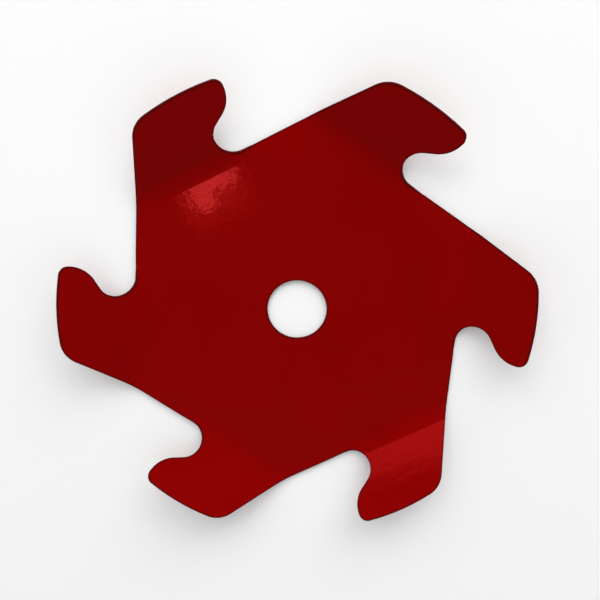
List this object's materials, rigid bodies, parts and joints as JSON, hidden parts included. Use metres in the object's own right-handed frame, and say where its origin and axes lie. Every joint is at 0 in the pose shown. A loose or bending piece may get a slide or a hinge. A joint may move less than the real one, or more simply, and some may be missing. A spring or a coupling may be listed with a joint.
{
  "type": "brushcutter blade",
  "caption": "Flat steel brushcutter blade: hexagonal hub with a central bore, and hooked arms that turn up along its sides above round gullets.",
  "frame": {"origin": "centre of the arbor bore on the underside of the flat hub", "axes": "+Z along the bore axis towards the side the arms turn up to; +Y towards the middle of one hub side, where an arm rises"},
  "size_m": [0.1848, 0.1928, 0.0189],
  "materials": {
    "red_paint": "gloss"
  },
  "bodies": {
    "root": {"blade": "red_paint"}
  },
  "joints": []
}
